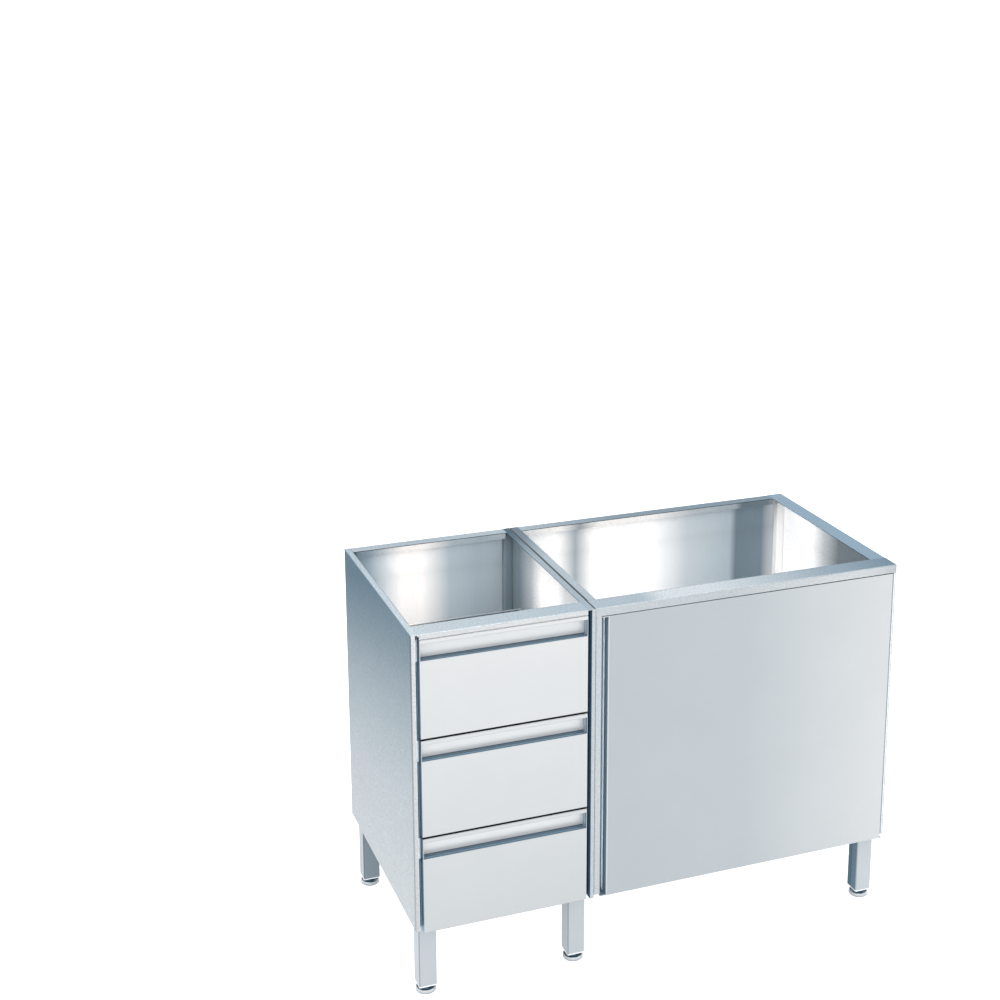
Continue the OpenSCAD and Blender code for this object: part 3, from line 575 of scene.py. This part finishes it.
# The right stile painted lighter where it is shaded
RIGHT_STILE = tone(205, RIGHT_STILE_LIGHT)
RIGHT_SIDE = steel("right_side_steel", tone(222), right=BACK_SIDE, top=RIGHT_FLANGE,
                   left=Split(ALONG_Y, RIGHT_STILE_FOLD_Y, RIGHT_STILE, under_rim(RIGHT_WALL)),
                   back=BACK_SIDE, grain="y", fleck=0.3, metal=0.05)


def back_panel(name, wall):
    return steel(name, near_rim(wall), rough=0.25, brush=0.004, gloss=0.05, back=BACK_SIDE, metal=0.05)


def back_rail(name, wall):
    """The rail at the back of a rim: its inner face carries the painted light and shade of the wall below
    it.
    """
    return steel(name, under_rim(wall), top=BACK_FLANGE, back=BACK_SIDE, grain="x", brush=0.004,
                 gloss=0.05, fleck=0.3, metal=0.05)


LEFT_BACK_PANEL = back_panel("left_back_steel", left_back(INSIDE_LIGHT))
RIGHT_BACK_PANEL = back_panel("right_back_steel", right_back(INSIDE_LIGHT))
FRONT_RAIL = steel("front_rail_steel", RIM_FACE, top=FRONT_FLANGE, grain="x", fleck=0.3, top_bend_light_and_shade=RIM_BEND)
LEFT_FRONT_RAIL = steel("left_front_rail_steel", STILE, top=FRONT_FLANGE, grain="x", fleck=0.3,
                        top_bend_light_and_shade=RIM_BEND)
LEFT_BACK_RAIL = back_rail("left_back_rail_steel", left_back(FRONT_LIGHT))
RIGHT_BACK_RAIL = back_rail("right_back_rail_steel", right_back(FRONT_LIGHT))
# Painted light and shade on the corner posts, different for each side
POSTS = steel("post_steel", POST, left=POST_SIDE, right=tone(150, INSIDE_LIGHT), metal=0.05)
# Painted light: top faces given a tone of their own under the top light
INNER = steel("inner_steel", tone(224), rough=0.25, grain="y", top=tone(185, TOP_LIGHT), metal=0.05)

# Steel of the drawers and the door, each face with its painted light and shade
# A painted highlight on the drawer fronts' left bends, and painted light and shade on their top bends
DRAWER = steel("drawer_front_steel", Split(ALONG_Y, SKIN_BACK_Y, PAN, RECESS), grain="x", top=UPWARD,
               left=PAN_EDGE, right=GAP_SHADE, left_bend_light_and_shade=tone(252, CORNER_LIGHT),
               top_bend_light_and_shade=Split(ALONG_Y, BEND_BACK_Y, PAN_BEND, tone(132, SLOT_LIGHT, 1.5)))
# A painted highlight on the door's left bend
DOOR = steel("door_steel", DOOR_FRONT, grain="x", top=DOOR_TOP, left=DOOR_EDGE, left_bend_light_and_shade=tone(250),
             top_bend_light_and_shade=DOOR_BEND)
# Painted shade in the door's grip recess, with a painted light line on its left faces
GRIP = steel("door_grip_steel", tone(108, GAP_LIGHT, 0.9), top=GAP_SHADE, left=tone(240, GRIP_LIGHT),
             right=tone(130, GAP_LIGHT))
# Painted shade on the grip caps' left faces, darkest on the left drawers
RIGHT_CAPS = Split(ALONG_X, SEAM_X, tone(150, SLOT_LIGHT), tone(160, SLOT_LIGHT))
GRIP_CAP = steel("grip_cap_steel", tone(225), top=GAP_SHADE,
                 left=Split(ALONG_X, DRAWER_MIDDLE_X, tone(64, SLOT_LIGHT), RIGHT_CAPS))
# Painted bands of reflected light and shade on the drawer boxes
BOX_TONES = ((-0.46, WHITE), (-0.42, 240), (-0.37, 190), (-0.30, 178), (-0.20, 190))
BOX_WALL = Ramp(ALONG_X, BOX_LIGHT, 1.0, *BOX_TONES)
BOX_EDGE = Ramp(ALONG_X, BOX_EDGE_LIGHT, 1.0, *BOX_TONES)
BOX_SIDE = tone(216, SIDE_LIGHT)
BOX = steel("drawer_box_steel", BOX_WALL, top=BOX_EDGE,
            left=Split(ALONG_X, BOX_LEFT_WALL_X, BOX_SIDE, BOX_WALL), right=BOX_SIDE, back=BOX_SIDE,
            grain="y")


# Legs and feet, with painted light and shade
# Painted shade on the left side of the front right leg
RIGHT_LEG_SIDE = Ramp(ALONG_Y, LEG_LIGHT, 1.3, (-0.246, 112), (-0.228, 108), (-0.223, 70),
                      (-0.219, 92), (-0.215, 76), (-0.211, 120))
# Painted shade in the feet's cups, and painted reflected light on their rims
FOOT_CUP = Ramp(ALONG_Z, CUP_LIGHT, 1.3, (0.0, 60), (0.010, 76), (0.014, 64), (0.017, 120), (0.04, 180))
FOOT_RIM = Ramp(ALONG_Z, SIDE_LIGHT, 1.3, (0.0, 76), (0.0014, 92), (0.0026, 206), (0.009, 232))


def leg(name, front, left, corner_shade):
    # Painted shade on the right sides, and a painted dark line on the corner between front and left side
    return steel(name, tone(front, LEG_LIGHT), left=left, right=tone(150, LEG_LIGHT),
                 left_bend_light_and_shade=tone(corner_shade, LEG_LIGHT))


def foot(name, thing):
    """A levelling foot: a rim painted bright as reflected light, around a cup painted dark with shade."""
    corners = [Vector(corner_shade) for corner_shade in thing.bound_box]
    centre = sum(corners, Vector()) / len(corners)
    radius = max(corner_shade.x for corner_shade in corners) - centre.x
    return steel(name + "_steel", Around(centre, radius - FOOT_RIM_W, FOOT_CUP, FOOT_RIM), rough=0.2,
                 gloss=0.4)


LEG = leg("leg_steel", 203, tone(212, LEG_LIGHT), 160)
LEG_RIGHT = leg("right_leg_steel", 208, RIGHT_LEG_SIDE, 180)
# The rear legs' fronts painted darker, as in the shade under the cabinet
LEG_REAR = leg("rear_leg_steel", 150, tone(190, LEG_LIGHT), 120)

# Small pieces
ZINC = plain("zinc_plate", tone(215), 0.4, metal=0.6)
PLASTIC = plain("grey_plastic", tone(236, INSIDE_LIGHT, 0.6), 0.5)
RUBBER = plain("black_rubber", tone(40), 0.7, depth=0.3)

MATERIALS = {
    "left_side_panel": LEFT_SIDE, "left_inner_side_panel": SEAM_LEFT,
    "right_inner_side_panel": SEAM_RIGHT, "right_side_panel": RIGHT_SIDE,
    "left_back_panel": LEFT_BACK_PANEL, "right_back_panel": RIGHT_BACK_PANEL,
    "left_bottom_panel": INNER, "right_bottom_panel": INNER,
    "left_front_rail": LEFT_FRONT_RAIL, "right_front_rail": FRONT_RAIL,
    "left_back_rail": LEFT_BACK_RAIL, "right_back_rail": RIGHT_BACK_RAIL,
    "corner_posts": POSTS, "shelf": INNER, "leg_front_right": LEG_RIGHT,
    "joining_bolts": ZINC, "shelf_supports": ZINC, "hinge_brackets": ZINC, "slide_channels": ZINC,
    "slide_outer_members": ZINC, "door_pivot_blocks": ZINC, "door_catch_plate": ZINC,
    "door_catch": PLASTIC, "leg_end_plugs": PLASTIC, "door_bumpers": RUBBER,
    "door_skin": DOOR, "door_liner": INNER, "door_grip": GRIP, "door_grip_caps": GRIP_CAP,
}
# Materials of pieces that come several times, by how their names begin or end
MATERIALS_BY_START = {"leg_rear": LEG_REAR, "leg_front": LEG, "slide_middle": ZINC}
MATERIALS_BY_END = {"_runners": ZINC, "_front": DRAWER, "_grip_caps": GRIP_CAP, "_box": BOX, "_liner": INNER}


def material_of(name, thing):
    if name in MATERIALS:
        return MATERIALS[name]
    if name.startswith("foot_"):
        return foot(name, thing)
    for start, material in MATERIALS_BY_START.items():
        if name.startswith(start):
            return material
    for end, material in MATERIALS_BY_END.items():
        if name.endswith(end):
            return material
    raise KeyError(name)


def give_nodes_materials():
    for name, thing in NODES.items():
        thing.data.materials.clear()
        thing.data.materials.append(material_of(name, thing))


# Stage, light and camera

FLOOR_HALF_W = 60.0
FLOOR_GREY = (0.30, 0.30, 0.30, 1.0)
FLOOR_GLOW = 0.95
PURE_WHITE = (1.0, 1.0, 1.0, 1.0)
TOP_LIGHT_AT = (-0.1, -0.2, 3.4)
TOP_LIGHT_TOWARDS = (0.0, 0.0, 0.6)
TOP_LIGHT_SIZE = (2.4, 2.0)
CAMERA_AT = (-1.46365, -3.36890, 2.22895)
CAMERA_YAW = math.radians(20.7145)
CAMERA_PITCH = math.radians(-13.625)
CAMERA_REACH = 300.0
FOCAL_PX = 1689.2
PRINCIPAL_PX = (540.0, 350.0)
IMAGE_PX = 1000.0
SENSOR_MM = 36.0


def floor():
    """A plain pale floor, bright enough to leave no horizon."""
    mesh = bpy.data.meshes.new("floor")
    half = FLOOR_HALF_W
    mesh.from_pydata([(-half, -half, 0), (half, -half, 0), (half, half, 0), (-half, half, 0)], [],
                     [(0, 1, 2, 3)])
    thing = bpy.data.objects.new("floor", mesh)
    bpy.context.scene.collection.objects.link(thing)
    tree = Tree("pale_floor")
    tree.set({"Base Color": FLOOR_GREY, "Roughness": 0.9, "Specular IOR Level": 0.1,
              "Emission Color": PURE_WHITE, "Emission Strength": FLOOR_GLOW})
    mesh.materials.append(tree.material)


def world():
    """Even white light from all sides."""
    studio = bpy.data.worlds.new("studio")
    studio.use_nodes = True
    background = studio.node_tree.nodes["Background"]
    background.inputs["Color"].default_value = PURE_WHITE
    background.inputs["Strength"].default_value = WORLD_LIGHT
    bpy.context.scene.world = studio


def top_light():
    """A soft light overhead, for the rim and the top bends."""
    data = bpy.data.lights.new("top", "AREA")
    data.shape = "RECTANGLE"
    data.size, data.size_y = TOP_LIGHT_SIZE
    data.energy = TOP_LIGHT_W
    thing = bpy.data.objects.new("top", data)
    bpy.context.scene.collection.objects.link(thing)
    thing.location = TOP_LIGHT_AT
    aim = Vector(TOP_LIGHT_TOWARDS) - Vector(TOP_LIGHT_AT)
    thing.rotation_euler = aim.to_track_quat("-Z", "Y").to_euler()


def camera():
    data = bpy.data.cameras.new("camera")
    data.sensor_width = SENSOR_MM
    data.lens = FOCAL_PX / IMAGE_PX * SENSOR_MM
    data.shift_x = (IMAGE_PX / 2 - PRINCIPAL_PX[0]) / IMAGE_PX
    data.shift_y = (PRINCIPAL_PX[1] - IMAGE_PX / 2) / IMAGE_PX
    data.clip_end = CAMERA_REACH
    thing = bpy.data.objects.new("camera", data)
    bpy.context.scene.collection.objects.link(thing)
    thing.location = CAMERA_AT
    thing.rotation_euler = (math.pi / 2 + CAMERA_PITCH, 0.0, -CAMERA_YAW)
    bpy.context.scene.camera = thing


give_nodes_materials()
floor()
world()
top_light()
camera()
bpy.context.scene.view_settings.view_transform = "Standard"
